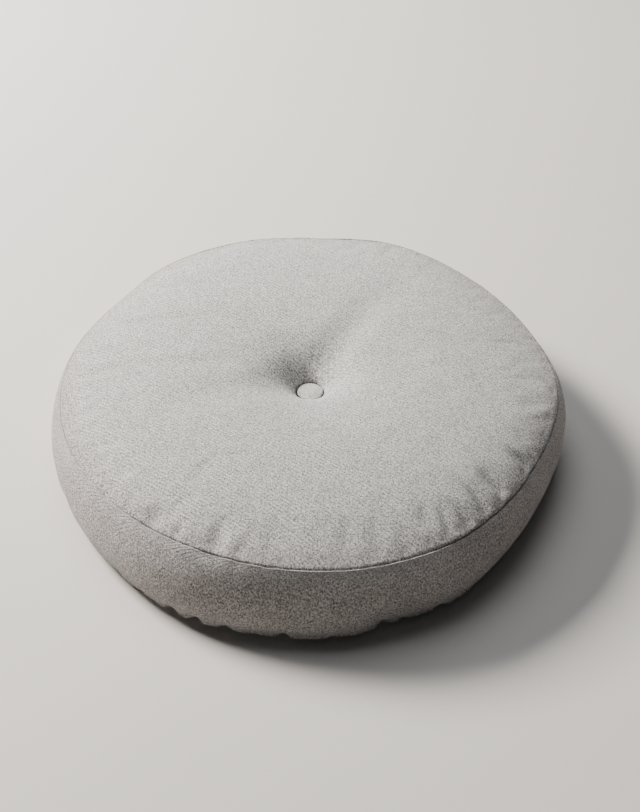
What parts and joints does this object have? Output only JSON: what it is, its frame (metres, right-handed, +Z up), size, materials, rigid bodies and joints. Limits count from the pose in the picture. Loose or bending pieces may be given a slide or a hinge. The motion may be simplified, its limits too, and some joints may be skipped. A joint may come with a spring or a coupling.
{
  "type": "round seat cushion",
  "caption": "Round boxed floor cushion: crowned top panel, bulging side band between two seams, and a small cloth-covered button tufted into its middle.",
  "frame": {"origin": "middle of the cushion's outline, on the surface that its underside rests on", "axes": "+Z up through the crown and the button, -Y the front, +X to the right as seen from the front"},
  "size_m": [0.5748, 0.5926, 0.1184],
  "materials": {
    "cloth": "heathered plain weave with a short soft nap, matt",
    "button_cloth": "the same cloth drawn tight over a button, matt"
  },
  "bodies": {
    "root": {"cushion": "cloth", "button": "button_cloth"}
  },
  "joints": []
}
